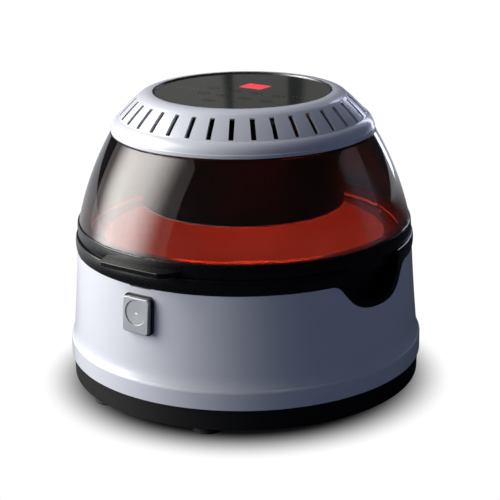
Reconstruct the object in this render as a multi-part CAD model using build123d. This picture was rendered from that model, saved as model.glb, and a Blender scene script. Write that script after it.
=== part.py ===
from build123d import *
import os
from math import atan2, cos, degrees, hypot, pi, radians, sin, sqrt

# Countertop air fryer oven: a round base with a cooking pot, and a hinged lid with a clear visor,
# a heater, a fan and a touch panel on top.
# Millimetres. +Z is up, the front faces -Y, and the origin is on the floor under the axis.

# Base, from the floor up
foot_h = 6.0
pan_h = 20.0
shell_h = 103.0
rim_h = 14.0
shell_top_r = 160.5
taper_run = 5.5
foot_step = 4.0
shoulder_h = 15.5
shoulder_round_h = 2.5
shoulder_round_in = 1.3
shoulder_bulge = 0.34
waist_h = 30.0
waist_hollow = 0.46
taper_hollow = 0.3
shell_t = 2.5
pan_t = 3.0
pan_setback = 1.7
pan_batter = 0.6
upstand_h = 8.0
upstand_t = 2.4
pan_vent_count = 16
pan_vent_ring_r = 95.0
pan_vent_l = 40.0
pan_vent_w = 5.0
rim_proud = 1.1
rim_t = 2.2
rim_bow = 0.8
rim_top_w = 12.1
ledge_w = 8.0
ledge_t = 2.5
ledge_drop = 3.0
lip_h = 4.0
lip_t = 1.3
fit_gap = 0.1

# Pot, liner and rack
wall_space = 26.5
pot_t = 1.2
pot_air = 4.3
pot_depth = 102.0
pot_corner_r = 14.0
pot_flange_gap = 1.4
liner_t = 1.2
liner_floor_gap = 4.0
liner_flange_w = 6.5
liner_hole_r = 12.0
rack_h = 26.0
rack_wire_d = 3.0
rack_edge_gap = 9.0
rack_pitch = 25.0
rack_ring_count = 5
rack_leg_count = 4
hub_plate_r = 9.0

# Side grips, one on each side
grip_forward_deg = 7.0
grip_half_w = 35.5
grip_drop = 36.5
grip_bow_h = 28.0
grip_bar_setback = 8.6
grip_bar_t = 2.0
grip_bar_h = 9.7
lobe_half_w = 52.0
lobe_border = 5.0
lobe_proud = 0.5
lobe_t = 3.0
cup_t = 1.8
cup_gap = 2.0

# Release button and latch at the front
button_w = 28.5
button_h = 32.0
button_corner_r = 3.2
button_z = 104.3
button_lean_deg = 5.0
button_edge_r = 0.7
button_travel = 3.0
button_left_proud = 1.0
button_face_t = 2.4
button_skirt_t = 1.6
button_depth = 11.5
button_stem_w = 8.0
button_stem_l = 5.0
dish_r = 11.6
dish_up = 2.5
dish_wall = 0.6
dish_edge_depth = 0.8
dish_depth = 1.0
bezel_gap = 0.2
bezel_t = 1.4
bezel_stand = 1.8
bezel_flange_w = 3.5
bezel_flange_t = 2.0
housing_t = 1.8
housing_side_gap = 2.6
housing_end_gap = 2.5
housing_back_gap = 1.7
latch_w = 14.0
latch_t = 2.5
latch_plate_w = 22.0
latch_plate_drop = 13.0
latch_shelf_drop = 4.0
latch_arm_gap = 2.2
latch_arm_top = 131.0
nose_h = 3.4
nose_clear = 0.3
spring_wire_d = 0.9
button_spring_r = 4.6
button_spring_turns = 2.5
spring_peg_r = 2.6
spring_peg_l = 1.2
hook_w = 16.0
hook_t = 2.0
hook_toe = 3.0
hook_toe_h = 3.0
hook_drop = 19.0
hook_slot_gap = 1.1
hook_foot_l = 3.2
hook_wall_gap = 0.7

# Lid ring, visor and cap
lid_gap = 0.6
lid_ring_h = 12.9
lid_ring_setback = 2.1
lid_ring_t = 2.0
ring_ledge = 1.3
ring_w = 10.4
ring_lip_h = 2.6
tab_reach = 16.5
tab_nose_half_w = 34.5
tab_root_half_w = 42.5
tab_nose_bow_r = 350.0
tab_corner_r = 7.0
tab_root_top = 5.9
tab_nose_top = 8.0
tab_nose_h = 5.0
tab_under_gap = 0.6
tab_hollow = 0.5
tab_edge_r = 0.8
seal_w = 4.0
seal_squash = 0.3
visor_h = 83.3
visor_t = 3.0
visor_bow_r = 298.0
trim_h = 1.7
trim_w = 5.0
cap_foot_r = 124.0
cap_shoulder_r = 116.0
cap_shoulder_h = 13.4
cap_brow_r = 96.8
cap_slope_h = 18.9
cap_lip_h = 3.4
cap_shoulder_bulge = 1.4
cap_slope_bulge = 0.5
cap_lip_bulge = 0.9
cap_t = 2.4
cap_band_h = 2.8
cap_crease = 0.6
slot_count = 36
slot_w = 4.6
slot_corner_r = 0.6
slot_top_gap = 2.2
slot_low_gap = 1.0
glass_r = 82.3
glass_t = 2.0
glass_sink = 1.2
panel_bezel_w = 2.0
glass_ledge_w = 4.0
glass_ledge_t = 1.8
cap_base_t = 2.0
cap_vent_count = 12
cap_vent_ring_r = 66.0
cap_vent_l = 20.0
cap_vent_w = 4.0
boss_r = 3.5
boss_inset = 16.0
boss_h = 17.5
boss_screw_d = 2.6
boss_screw_l = 12.0
boss_screw_head_r = 3.0
boss_screw_head_h = 1.6

# Heater and fan
shroud_r = 96.0
shroud_h = 70.5
shroud_t = 1.0
shroud_lip_w = 4.0
shroud_hole_r = 9.0
guard_wire_d = 2.4
guard_ring_pitch = 12.0
guard_up = 3.2
guard_bar_count = 6
element_d = 7.0
element_outer_r = 80.0
element_inner_r = 64.0
element_up = 17.0
element_bend_r = 12.0
element_gap_deg = 16.0
fan_r = 56.0
fan_disc_t = 1.2
fan_blade_h = 14.0
fan_blade_t = 1.2
fan_blade_count = 8
fan_under_roof = 12.0
fan_hub_r = 10.0
fan_hub_up = 3.0
cooling_fan_r = 46.0
cooling_fan_h = 7.0
cooling_fan_up = 2.0
cooling_hub_r = 14.0
cooling_blade_count = 9
cooling_blade_t = 1.2
cooling_blade_deg = 35.0
shaft_d = 6.0
shaft_fit = 0.05
bearing_r = 11.0
bearing_h = 7.0
motor_r = 27.0
motor_h = 11.0
motor_t = 1.6
motor_air = 0.8
bracket_leg_r = 58.0
bracket_leg_d = 8.0
bracket_arm_w = 18.0
bracket_t = 1.6
board_t = 1.6
board_r = 66.0
board_drop = 7.0
display_w = 27.0
display_d = 20.0
display_y = 21.0

# Interlock: a magnet in the lid over a switch in the base
switch_deg = 55.0
switch_w = 14.0
switch_h = 6.0
magnet_r = 2.6
magnet_h = 5.0

# Hinge at the back
hinge_up = 7.0
knuckle_r = 6.0
hinge_half_w = 38.0
ear_w = 8.0
spring_room = 16.0
hinge_pin_d = 5.0
hinge_side_gap = 0.4
saddle_h = 20.0
hinge_wire_d = 1.4
hinge_spring_turns = 6.25
hinge_screw_x = 24.0
hinge_screw_up = 6.0
hinge_screw_l = 9.0
lug_half_h = 5.4
saddle_drop = 1.5
hinge_plate_t = 2.5

# Feet, wiring and fasteners
foot_r = 14.0
foot_inset = 18.0
front_foot_deg = 22.0
rear_foot_deg = 48.0
screw_d = 4.0
screw_head_r = 3.6
screw_head_h = 2.4
post_r = 5.0
post_h = 14.0
gland_z = 66.0
gland_bore_r = 3.75
gland_body_w = 14.0
gland_flange_w = 21.0
gland_corner_r = 1.6
gland_flange_t = 3.0
gland_body_l = 14.0
lead_d = 6.0
lead_bend_r = 9.2
lead_sweep_r = 17.0
terminal_y = 92.0
terminal_w = 36.0
terminal_d = 14.0
terminal_h = 12.0
terminal_pitch = 12.0

# Heights and radii that follow
shell_z = foot_h + pan_h
rim_z = shell_z + shell_h
seam_z = rim_z + rim_h
waist_r = shell_top_r + taper_run
shell_foot_r = waist_r + foot_step
foot_ring_r = shell_foot_r - foot_inset
rim_r = shell_top_r + rim_proud
rim_wall_in = rim_r - rim_t
rim_top_in = rim_r - rim_top_w
ledge_z = seam_z - ledge_drop
ledge_in = rim_top_in - ledge_w
under_ledge_z = ledge_z - ledge_t
pot_r = shell_top_r - wall_space
pot_z = ledge_z - pot_depth
liner_r = pot_r + pot_air + liner_t
liner_z = pot_z - liner_floor_gap - liner_t
grip_low_z = seam_z - grip_drop
grip_bar_r = rim_r - grip_bar_setback
grip_bar_z = seam_z - grip_bar_h
cup_back_x = liner_r + cup_gap
lid_z = seam_z + lid_gap
lid_top_z = lid_z + lid_ring_h
lid_ring_r = rim_r - lid_ring_setback
visor_foot_r = lid_ring_r - ring_ledge - 0.6
lid_ring_in = visor_foot_r - ring_w + 0.8
lid_wall_in = lid_ring_r - lid_ring_t
trim_z = lid_top_z + visor_h
cap_z = trim_z + trim_h
cap_top_z = cap_z + cap_shoulder_h + cap_slope_h + cap_lip_h
visor_top_r = cap_foot_r + 0.6
boss_ring_r = cap_foot_r - boss_inset
glass_top_z = cap_top_z - glass_sink
glass_seat_z = glass_top_z - glass_t
glass_hole_r = glass_r + panel_bezel_w + fit_gap
cap_base_z = cap_z
roof_z = cap_base_z + cap_base_t
shroud_z = cap_base_z - shroud_h
fan_disc_z = cap_base_z - shroud_t - fan_under_roof
cooling_fan_z = roof_z + cooling_fan_up
bracket_z = cooling_fan_z + cooling_fan_h + 1.5
board_z = glass_seat_z - board_drop
front_reach = rim_r - lid_ring_setback + tab_reach
hinge_y = front_reach - knuckle_r
hinge_z = seam_z + hinge_up
saddle_top_z = seam_z - saddle_drop
button_wall_r = waist_r - taper_run * (button_z - shell_z - waist_h) / (shell_h - waist_h)
bezel_front_y = -(button_wall_r + bezel_stand)
button_proud = button_travel + button_left_proud
button_front_y = bezel_front_y - button_proud
bezel_flange_y = -(shell_top_r - shell_t) + 2.0
slider_front_y = button_front_y + button_depth + button_stem_l
housing_back_y = -(liner_r + housing_back_gap)
hook_y = -(lid_wall_in - hook_t / 2 - hook_wall_gap)
hook_low_z = seam_z - hook_drop


def outline(start, *steps):
    # A closed outline of radius and height: two numbers go straight, four bend through a point
    edges = []
    here = start
    for step in (*steps, start):
        end = (step[-2], step[-1])
        if len(step) == 4:
            edges.append(ThreePointArc(here, (step[0], step[1]), end))
        elif hypot(end[0] - here[0], end[1] - here[1]) > 1e-6:
            edges.append(Line(here, end))
        here = end
    return make_face(edges)


def arc_middle(start, end, bulge):
    # Middle of an arc whose chord climbs from start to end, off the chord by bulge, outwards if above 0
    run = (end[0] - start[0], end[1] - start[1])
    length = hypot(*run)
    return (
        (start[0] + end[0]) / 2 + bulge * run[1] / length,
        (start[1] + end[1]) / 2 - bulge * run[0] / length,
    )


def turned(start, *steps):
    return revolve(Plane.XZ * outline(start, *steps), Axis.Z)


def ring(inner_r, outer_r, low_z, high_z):
    return turned((inner_r, low_z), (outer_r, low_z), (outer_r, high_z), (inner_r, high_z))


def disc(radius, low_z, high_z):
    return Pos(0, 0, low_z) * extrude(Circle(radius), high_z - low_z)


def post(x, y, radius, low_z, high_z):
    return Pos(x, y, 0) * disc(radius, low_z, high_z)


def block(x0, x1, y0, y1, z0, z1):
    return Pos((x0 + x1) / 2, (y0 + y1) / 2, (z0 + z1) / 2) * Box(x1 - x0, y1 - y0, z1 - z0)


def along_x(x0, x1, y, z, radius):
    return Pos((x0 + x1) / 2, y, z) * Rot(0, 90, 0) * Cylinder(radius, x1 - x0)


def along_y(y0, y1, x, z, radius):
    return Pos(x, (y0 + y1) / 2, z) * Rot(90, 0, 0) * Cylinder(radius, y1 - y0)


def on_circle(radius, angle_deg):
    # Angles run from the front, towards +X
    return radius * sin(radians(angle_deg)), -radius * cos(radians(angle_deg))


def joined(pieces):
    whole = pieces[0]
    for piece in pieces[1:]:
        whole = whole + piece
    return whole


def save(name, piece):
    export_step(piece, f"parts/{name}.step")


def tube_along(path, diameter):
    return sweep(Plane(origin=path @ 0, z_dir=path % 0) * Circle(diameter / 2), path=path)


def coil(radius, wire_d, pitch, turns, first_leg=0.0, last_leg=0.0):
    # A spring round Z from z = 0, one unbroken wire of round section, with straight legs
    path = Helix(pitch=pitch, height=pitch * turns, radius=radius)
    wire = sweep(Plane(origin=path @ 0, z_dir=path % 0) * Circle(wire_d / 2), path=path, is_frenet=True)
    print("coil gap to itself", round(pitch - wire_d, 2))
    for at, length, way in ((0, first_leg, -1), (1, last_leg, 1)):
        if length > 0:
            leg = Plane(origin=path @ at, z_dir=(path % at) * way) * Circle(wire_d / 2)
            wire = wire + extrude(leg, length)
    return wire


# Outside of the base wall


def base_side(inset):
    # From the foot of the shell up to the rim seat, set in by inset
    foot = (shell_foot_r - inset, shell_z)
    shoulder = (foot[0], shell_z + shoulder_h)
    crease = (foot[0] - shoulder_round_in, shoulder[1] + shoulder_round_h)
    waist = (waist_r - inset, shell_z + waist_h)
    seat = (shell_top_r - inset, rim_z)
    return (
        foot,
        shoulder,
        (*arc_middle(shoulder, crease, shoulder_bulge), *crease),
        (*arc_middle(crease, waist, -waist_hollow), *waist),
        (*arc_middle(waist, seat, -taper_hollow), *seat),
    )


def base_envelope(grow):
    # Everything inside the shell and the rim, grown outwards
    outer_r = rim_r + grow
    return turned((0, shell_z), *base_side(-grow), (outer_r, rim_z), (outer_r, seam_z), (0, seam_z))


def wall_envelope(inset, top_z):
    # Everything inside the shell's wall, which goes straight up past the rim seat
    return turned((0, shell_z), *base_side(inset), (shell_top_r - inset, top_z), (0, top_z))


# Side grips


def grip_face(grow):
    # Half-moon opening, across Y and up Z
    bow = grip_bow_h + grow
    half = grip_half_w + grow
    bow_z = grip_low_z + grip_bow_h
    lower = Pos(0, bow_z) * Ellipse(half, bow)
    upper = Pos(0, bow_z + 50) * Rectangle(2 * half, 100)
    keep = Pos(0, bow_z - bow + 100) * Rectangle(2 * half + 2, 200)
    return (lower + upper) & keep


def lobe_face(grow):
    # The rim's drooping lobe round the opening, with an S bend at each shoulder
    low = grip_low_z - lobe_border - grow
    half = lobe_half_w + grow
    neck = grip_half_w + grow
    edge_z = rim_z - grow
    top = under_ledge_z + 0.5
    turn_z = low + 13.0
    right = [
        Line((half, top), (half, edge_z)),
        Bezier((half, edge_z), (neck + 9, edge_z), (neck + 6, turn_z + 7), (neck, turn_z)),
        Bezier((neck, turn_z), (neck - 9.3, low + 2.2), (neck - 21, low), (0, low)),
    ]
    left = [mirror(edge, Plane.YZ) for edge in right]
    return make_face(right + left + [Line((half, top), (-half, top))])


def through_side(face, side, from_x, to_x):
    # A face carried outwards through the side wall, turned a little towards the front
    start_x = from_x if side > 0 else -to_x
    solid = Pos(start_x, 0, 0) * extrude(Plane.YZ * face, to_x - from_x)
    return Rot(0, 0, -side * grip_forward_deg) * solid


def make_grip_cup(side):
    far = rim_r + 10
    grown = through_side(grip_face(cup_t), side, cup_back_x, far)
    hollow = through_side(grip_face(0), side, cup_back_x + cup_t, far)
    limit = wall_envelope(lobe_t + 0.05, under_ledge_z)
    ceiling = through_side(grip_face(0), side, cup_back_x, far)
    ceiling = ceiling & disc(grip_bar_r, grip_bar_z - cup_t, grip_bar_z)
    return (grown & limit) - hollow + ceiling


# Base


def make_outer_shell():
    seat_in = shell_top_r - lip_t
    shell = turned(
        *base_side(0),
        (seat_in, rim_z),
        (seat_in, rim_z + lip_h),
        (shell_top_r - shell_t, rim_z + lip_h),
        *reversed_side(shell_t),
    )
    for side in (1, -1):
        shell = shell - through_side(lobe_face(0.25), side, 60, shell_foot_r + 5)
    notch_half = hook_w / 2 + 4
    shell = shell - block(-notch_half, notch_half, -shell_top_r - 1, -shell_top_r + 9, rim_z - 1, rim_z + 9)
    shell = shell - front_opening(fit_gap)
    shell = shell - gland_prism(gland_body_w + 2 * fit_gap, gland_inner_y(), shell_foot_r + 5)
    return shell


def reversed_side(inset):
    # The same wall line followed downwards
    steps = base_side(inset)
    points = [(step[-2], step[-1]) for step in steps]
    back = [points[-1]]
    for index in range(len(steps) - 1, 0, -1):
        bend = steps[index][:2] if len(steps[index]) == 4 else ()
        back.append((*bend, *points[index - 1]))
    return back


def front_opening(grow):
    half_w = button_w / 2 + bezel_gap + bezel_t + grow
    half_h = button_h / 2 + bezel_gap + bezel_t + grow
    face = RectangleRounded(2 * half_w, 2 * half_h, button_corner_r + bezel_t)
    return Pos(0, 0, button_z) * extrude(Plane.XZ * face, 200)


def make_base_pan():
    skirt_r = shell_foot_r - pan_setback
    upstand_r = shell_foot_r - shell_t - fit_gap
    pan = turned(
        (0, foot_h),
        (skirt_r - pan_batter, foot_h),
        (skirt_r, shell_z),
        (upstand_r, shell_z),
        (upstand_r, shell_z + upstand_h),
        (upstand_r - upstand_t, shell_z + upstand_h),
        (upstand_r - upstand_t, shell_z - 2),
        (skirt_r - pan_batter - pan_t, foot_h + pan_t),
        (0, foot_h + pan_t),
    )
    for angle in foot_angles():
        x, y = on_circle(foot_ring_r, angle)
        pan = pan + post(x, y, post_r, foot_h + pan_t, foot_h + pan_t + post_h)
        pan = pan - post(x, y, screw_d / 2, foot_h - 1, foot_h + pan_t + post_h - 2)
    vent = extrude(SlotOverall(pan_vent_l, pan_vent_w, rotation=90), pan_t, both=True)
    for index in range(pan_vent_count):
        turn = 360 / pan_vent_count * (index + 0.5)
        pan = pan - Rot(0, 0, turn) * Pos(0, pan_vent_ring_r, foot_h + pan_t / 2) * vent
    return pan


def foot_angles():
    return (front_foot_deg, -front_foot_deg, 180 - rear_foot_deg, 180 + rear_foot_deg)


def make_foot(angle):
    sole_r = foot_r - 1.0
    foot = turned(
        (screw_d / 2 + 0.3, screw_head_h + 1.0),
        (screw_head_r + 0.6, screw_head_h + 1.0),
        (screw_head_r + 0.6, 0),
        (sole_r, 0),
        (foot_r - 0.2, 0.3, foot_r, 1.2),
        (foot_r - 1.6, foot_h),
        (screw_d / 2 + 0.3, foot_h),
    )
    x, y = on_circle(foot_ring_r, angle)
    return Pos(x, y, 0) * foot


def pan_screw(x, y, head_z, length):
    # A cross-head screw driven upwards: the head at the bottom, with its recess
    head = Pos(x, y, 0) * turned(
        (0, head_z),
        (screw_head_r - 0.8, head_z),
        (screw_head_r, head_z + 0.8),
        (screw_head_r, head_z + screw_head_h),
        (0, head_z + screw_head_h),
    )
    shank = post(x, y, screw_d / 2 - 0.05, head_z + screw_head_h, head_z + length)
    cross = block(x - 2, x + 2, y - 0.5, y + 0.5, head_z - 1, head_z + 1.2)
    cross = cross + block(x - 0.5, x + 0.5, y - 2, y + 2, head_z - 1, head_z + 1.2)
    return head + shank - cross


def make_foot_screws():
    head_z = 1.0
    length = foot_h + pan_t + post_h - 3 - head_z
    return Compound([pan_screw(*on_circle(foot_ring_r, angle), head_z, length) for angle in foot_angles()])


def make_base_rim():
    low = (rim_r - 1.0, rim_z)
    high = (rim_r - 0.6, seam_z - 1.0)
    rim = turned(
        low,
        (*arc_middle(low, high, rim_bow), *high),
        (rim_r - 0.9, seam_z - 0.3),
        (rim_r - 1.6, seam_z),
        (rim_top_in, seam_z),
        (rim_top_in, ledge_z),
        (ledge_in, ledge_z),
        (ledge_in, under_ledge_z),
        (rim_wall_in, under_ledge_z),
        (rim_wall_in, rim_z),
    )
    skin_top = under_ledge_z + 0.5
    skin = wall_envelope(-lobe_proud, skin_top) - wall_envelope(lobe_t, skin_top + 1)
    cave_limit = disc(rim_r + 20, 0, seam_z + 5) - disc(grip_bar_r, grip_bar_z, seam_z + 5)
    for side in (1, -1):
        rim = rim + (through_side(lobe_face(0), side, 60, rim_r + 10) & skin)
        bar = ring(grip_bar_r - grip_bar_t, grip_bar_r, grip_bar_z, under_ledge_z + 0.5)
        rim = rim + (bar & through_side(grip_face(0), side, 60, rim_r + 10))
        rim = rim - (through_side(grip_face(0), side, 60, rim_r + 10) & cave_limit)
    half_w = hook_w / 2 + hook_slot_gap
    front_y = hook_y - hook_t / 2 - hook_slot_gap - 1.0
    back_y = hook_y + hook_t / 2 + hook_toe + 0.5
    return rim - block(-half_w, half_w, front_y, back_y, under_ledge_z - 1, seam_z + 1)


def make_inner_liner():
    flange_r = liner_r + liner_flange_w
    inner_r = liner_r - liner_t
    corner = pot_corner_r
    floor_bend = corner * 0.293 + liner_t * 0.707
    liner = turned(
        (0, liner_z),
        (liner_r - corner, liner_z),
        (liner_r - corner * 0.293, liner_z + corner * 0.293, liner_r, liner_z + corner),
        (liner_r, under_ledge_z - liner_t),
        (flange_r, under_ledge_z - liner_t),
        (flange_r, under_ledge_z),
        (inner_r, under_ledge_z),
        (inner_r, liner_z + corner),
        (liner_r - floor_bend, liner_z + floor_bend, liner_r - corner, liner_z + liner_t),
        (0, liner_z + liner_t),
    )
    for side in (1, -1):
        liner = liner - through_side(grip_face(cup_t + 0.5), side, liner_r, rim_r)
    return liner - disc(liner_hole_r, liner_z - 1, liner_z + liner_t + 1)


def make_cooking_pot():
    lip_r = rim_top_in - pot_flange_gap
    inner_r = pot_r - pot_t
    corner = pot_corner_r
    inner_bend = (corner - pot_t) * 0.293
    floor_z = pot_z + pot_t
    return turned(
        (0, pot_z),
        (pot_r - corner, pot_z),
        (pot_r - corner * 0.293, pot_z + corner * 0.293, pot_r, pot_z + corner),
        (pot_r, ledge_z),
        (lip_r, ledge_z),
        (lip_r + 0.45, ledge_z + pot_t / 2, lip_r, ledge_z + pot_t),
        (inner_r + 1.5, ledge_z + pot_t),
        (inner_r + 0.44, ledge_z + pot_t - 0.44, inner_r, ledge_z + pot_t - 1.5),
        (inner_r, pot_z + corner),
        (inner_r - inner_bend, floor_z + inner_bend, pot_r - corner, floor_z),
        (0, floor_z),
    )


def wire_grid(outer_r, pitch, ring_count, bar_count, wire_d, ring_z, bar_z):
    # Wire rings, drawn with eight sides, on radial bars that meet at a small plate in the middle
    low, high = sorted((ring_z, bar_z))
    grid = disc(hub_plate_r, low - wire_d * 0.3, high + wire_d * 0.3)
    bar_half = wire_d * 0.45
    for index in range(bar_count):
        bar = block(hub_plate_r - 2, outer_r, -wire_d / 2, wire_d / 2, bar_z - bar_half, bar_z + bar_half)
        grid = grid + Rot(0, 0, 360 / bar_count * (index + 0.5)) * bar
    for index in range(ring_count):
        radius = outer_r - index * pitch
        turns = [radians(22.5 + 45 * side) for side in range(8)]
        corners = [(radius + wire_d / 2 * cos(turn), ring_z + wire_d / 2 * sin(turn)) for turn in turns]
        grid = grid + turned(*corners)
    return grid


def make_wire_rack():
    ring_z = pot_z + pot_t + rack_h
    bar_z = ring_z - rack_wire_d * 0.7
    outer_r = pot_r - pot_t - rack_edge_gap
    rack = wire_grid(outer_r, rack_pitch, rack_ring_count, rack_leg_count, rack_wire_d, ring_z, bar_z)
    leg = post(outer_r - rack_pitch / 2, 0, rack_wire_d / 2, pot_z + pot_t, bar_z)
    for index in range(rack_leg_count):
        rack = rack + Rot(0, 0, 360 / rack_leg_count * (index + 0.5)) * leg
    return rack


# Release button and latch


def front_frame(half_w, half_h, corner_r, wall, y0, y1):
    # A rounded tube along Y round the button, between y0 and y1
    face = RectangleRounded(2 * half_w, 2 * half_h, corner_r)
    face = face - RectangleRounded(2 * (half_w - wall), 2 * (half_h - wall), max(corner_r - wall, 0.6))
    return Pos(0, y1, button_z) * extrude(Plane.XZ * face, y1 - y0)


def on_lean(y):
    # A place at the button's middle that leans back with the wall behind it
    return Pos(0, y, button_z) * Rot(-button_lean_deg, 0, 0)


def before_lean(y):
    # Everything in front of the leaning face at y
    slab_t = 2 * button_w
    return on_lean(y) * Pos(0, -slab_t / 2, 0) * Box(3 * button_w, slab_t, 3 * button_h)


def lean_room():
    # How far the foot of a leaning face comes forward of its middle, and a little more
    return button_h * sin(radians(button_lean_deg))


def make_button_bezel():
    half_w = button_w / 2 + bezel_gap + bezel_t
    half_h = button_h / 2 + bezel_gap + bezel_t
    flange_back = bezel_flange_y + bezel_flange_t
    front_y = bezel_front_y - lean_room()
    tube = front_frame(half_w, half_h, button_corner_r + bezel_t, bezel_t, front_y, flange_back)
    wide = half_w + bezel_flange_w
    tall = half_h + 1.0
    flange = front_frame(wide, tall, 3.0, bezel_t + 1.0, bezel_flange_y, flange_back)
    pad_x = wide - 0.5
    pad_z = half_h - 4.0
    pads = block(-pad_x, pad_x, bezel_flange_y, flange_back, button_z - pad_z, button_z + pad_z)
    hole_face = RectangleRounded(button_w + 2 * bezel_gap, button_h + 2 * bezel_gap, button_corner_r)
    hole = Pos(0, flange_back + 1, button_z) * extrude(Plane.XZ * hole_face, 60)
    return (tube - before_lean(bezel_front_y)) + (flange + pads - hole)


def make_release_button():
    # A hollow cap with a leaning face, a shallow dish for the thumb and a stem to the latch slide
    back_y = button_front_y + button_depth
    length = button_depth + lean_room()
    face = RectangleRounded(button_w, button_h, button_corner_r)
    cap = Pos(0, back_y, button_z) * extrude(Plane.XZ * face, length) - before_lean(button_front_y)
    lean = on_lean(button_front_y)
    upright = lean.inverse() * cap
    upright = fillet(upright.edges().filter_by_position(Axis.Y, -0.01, 0.01), button_edge_r)
    cap = lean * upright
    core_w = button_w - 2 * button_skirt_t
    core_h = button_h - 2 * button_skirt_t
    core_face = RectangleRounded(core_w, core_h, button_corner_r - button_skirt_t + 0.6)
    core = Pos(0, back_y + 1, button_z) * extrude(Plane.XZ * core_face, length + 1)
    cap = cap - (core - before_lean(button_front_y + button_face_t))
    dish = turned(
        (0, -dish_depth),
        (dish_r - dish_wall, -dish_edge_depth),
        (dish_r, 0),
        (dish_r, 1),
        (0, 1),
    )
    cap = cap - lean * Pos(0, 0, dish_up) * Rot(90, 0, 0) * dish
    half = button_stem_w / 2
    stem_y = button_front_y + button_face_t - 0.5
    return cap + block(-half, half, stem_y, slider_front_y, button_z - half, button_z + half)


def make_latch_slider():
    # The latch slide sits against the button's stem, and its nose goes over the hook's toe
    back_y = slider_front_y + latch_t
    shelf_z = button_z + button_h / 2 - latch_shelf_drop
    shelf_top = shelf_z + latch_t
    half = latch_plate_w / 2
    plate = block(-half, half, slider_front_y, back_y, button_z - latch_plate_drop, shelf_top)
    peg = along_y(back_y - 0.5, back_y + spring_peg_l, 0, button_z, spring_peg_r)
    nose_y = hook_y + hook_t / 2 + hook_toe + nose_clear
    half = latch_w / 2
    arm_y = nose_y + latch_arm_gap
    shelf = block(-half, half, slider_front_y, arm_y + latch_t, shelf_z, shelf_top)
    arm = block(-half, half, arm_y, arm_y + latch_t, shelf_z, latch_arm_top)
    nose = block(-half, half, nose_y, arm_y + 0.5, latch_arm_top - nose_h, latch_arm_top)
    return plate + peg + shelf + arm + nose


def make_latch_housing():
    front_y = bezel_flange_y + bezel_flange_t
    back_y = housing_back_y - housing_t
    half_w = button_w / 2 + housing_side_gap
    half_h = button_h / 2 + housing_end_gap
    low_z = button_z - half_h
    high_z = button_z + half_h
    in_w = half_w - housing_t
    outside = block(-half_w, half_w, front_y, housing_back_y, low_z, high_z)
    inside = block(-in_w, in_w, front_y - 1, back_y, low_z + housing_t, high_z - housing_t)
    gap_w = latch_w / 2 + 1.0
    window = block(-gap_w, gap_w, front_y - 1, back_y, high_z - housing_t - 1, high_z + 1)
    peg = along_y(back_y - spring_peg_l, back_y + 0.5, 0, button_z, spring_peg_r)
    return outside - inside - window + peg


def make_button_spring():
    low = slider_front_y + latch_t
    length = housing_back_y - housing_t - low
    pitch = (length - spring_wire_d) / button_spring_turns
    spring = Pos(0, 0, spring_wire_d / 2) * coil(button_spring_r, spring_wire_d, pitch, button_spring_turns)
    return Pos(0, low, button_z) * Rot(-90, 0, 0) * spring


# Lid


def tab_plan():
    # Plan of the lifting tab: a slightly bowed nose with round corners, and sides that flare to the root
    end_y = -front_reach + tab_nose_bow_r - sqrt(tab_nose_bow_r**2 - tab_nose_half_w**2)
    root_y = -sqrt(lid_ring_r**2 - tab_root_half_w**2)
    back_y = root_y + 6.0
    flare = (tab_root_half_w - tab_nose_half_w) / (root_y - end_y)
    back_half = tab_root_half_w + flare * (back_y - root_y)
    face = make_face([
        ThreePointArc((-tab_nose_half_w, end_y), (0, -front_reach), (tab_nose_half_w, end_y)),
        Line((tab_nose_half_w, end_y), (back_half, back_y)),
        Line((back_half, back_y), (-back_half, back_y)),
        Line((-back_half, back_y), (-tab_nose_half_w, end_y)),
    ])
    return fillet(face.vertices().sort_by(Axis.Y)[:2], tab_corner_r)


def make_tab():
    # The tab rises a little towards its nose, with a hollow top and room for fingers under it
    nose_y = -front_reach - 1.0
    wall_y = -lid_ring_r
    under_z = lid_z + tab_under_gap
    nose_top = (nose_y, lid_z + tab_nose_top)
    root_top = (wall_y, lid_z + tab_root_top)
    side = outline(
        (0, under_z),
        (wall_y - 1.5, under_z),
        (nose_y, nose_top[1] - tab_nose_h),
        nose_top,
        (*arc_middle(nose_top, root_top, tab_hollow), *root_top),
        (0, root_top[1]),
    )
    wide = 2 * tab_root_half_w
    tab = extrude(Plane.YZ * side, wide, both=True) & Pos(0, 0, lid_z - 5) * extrude(tab_plan(), 30)
    out_y = -sqrt(lid_ring_r**2 - tab_root_half_w**2) - 0.5
    rims = [edge for edge in tab.edges() if edge.center().Y < out_y and abs(edge.tangent_at(0.5).Z) < 0.5]
    return fillet(rims, tab_edge_r) - disc(lid_wall_in + 0.5, lid_z - 5, lid_top_z + 5)


def make_lid_ring():
    low = (lid_ring_r - 0.5, lid_z)
    high = (lid_ring_r - 0.5, lid_top_z - 1.9)
    wall_top = lid_top_z - lid_ring_t
    seal_top = lid_z + ring_lip_h
    ring_body = turned(
        low,
        (*arc_middle(low, high, 0.5), *high),
        (lid_ring_r - 0.75, lid_top_z - 0.5, lid_ring_r - ring_ledge, lid_top_z),
        (lid_ring_in, lid_top_z),
        (lid_ring_in, seal_top),
        (lid_ring_in + lid_ring_t, seal_top),
        (lid_ring_in + lid_ring_t, wall_top),
        (lid_wall_in, wall_top),
        (lid_wall_in, lid_z),
    )
    return ring_body + make_tab()


def make_lid_seal():
    low = seam_z + seal_squash
    high = lid_z + ring_lip_h
    inner = lid_ring_in - 0.5
    return turned(
        (inner + 0.8, low),
        (inner + seal_w - 0.8, low),
        (inner + seal_w - 0.2, low + 0.2, inner + seal_w, low + 0.8),
        (inner + seal_w, high),
        (inner, high),
        (inner, low + 0.8),
        (inner + 0.2, low + 0.2, inner + 0.8, low),
    )


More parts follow.
